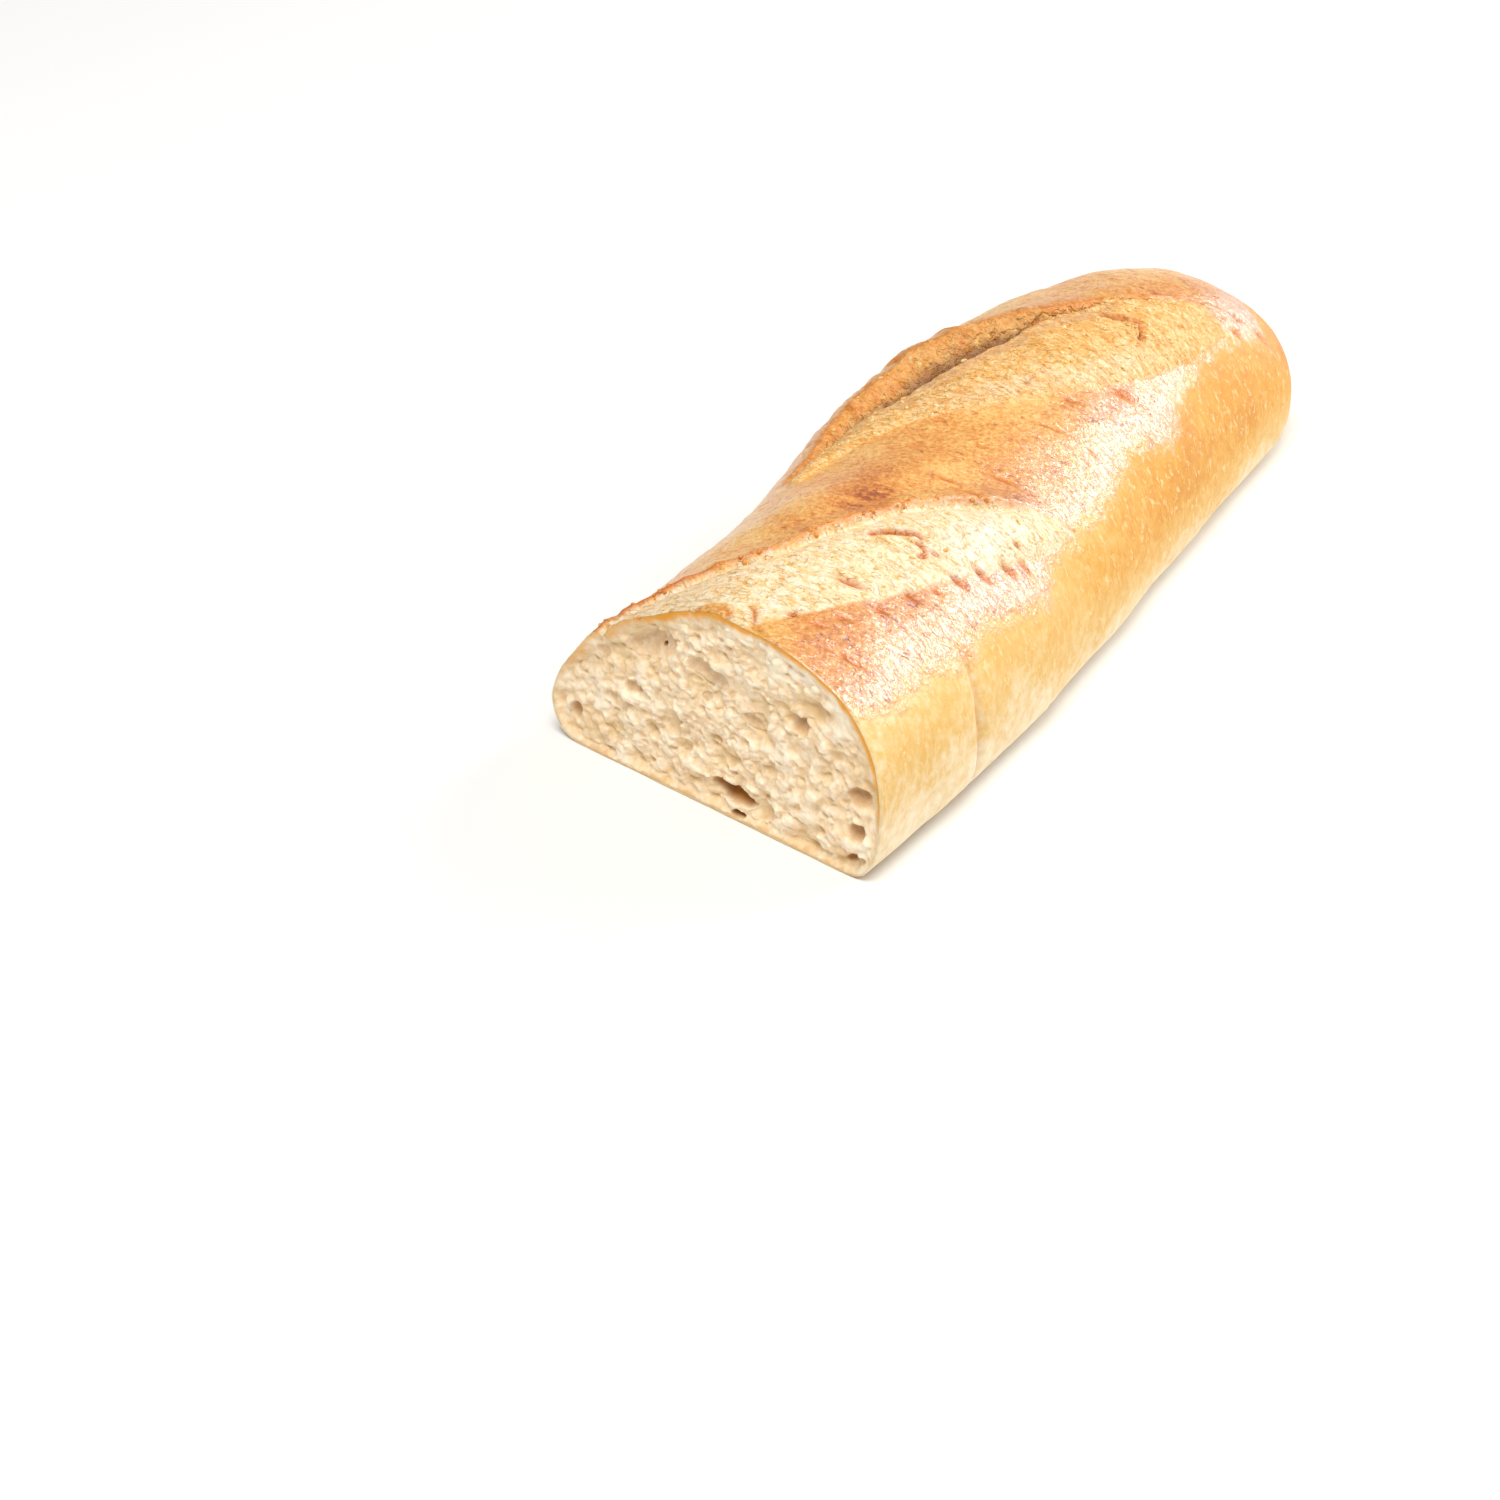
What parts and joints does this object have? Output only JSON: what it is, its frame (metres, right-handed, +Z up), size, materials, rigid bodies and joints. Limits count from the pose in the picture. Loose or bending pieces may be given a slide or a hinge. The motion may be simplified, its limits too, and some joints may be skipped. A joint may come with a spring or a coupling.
{
  "type": "baguette",
  "caption": "Cut length of baguette: a crusty loaf with a rounded end, a flat sole, two open diagonal scores and a straight cut that shows the crumb.",
  "frame": {"origin": "on the ground under the middle of the loaf's box", "axes": "+X along the loaf from the cut to the rounded end, +Z up"},
  "size_m": [0.2352, 0.0942, 0.0516],
  "materials": {
    "crust": "baked crust, golden to caramel brown, satin where the dough was taut, matt where it tore open",
    "crumb": "soft open crumb, ivory, matt"
  },
  "bodies": {
    "root": {"loaf": "crust"}
  },
  "joints": []
}
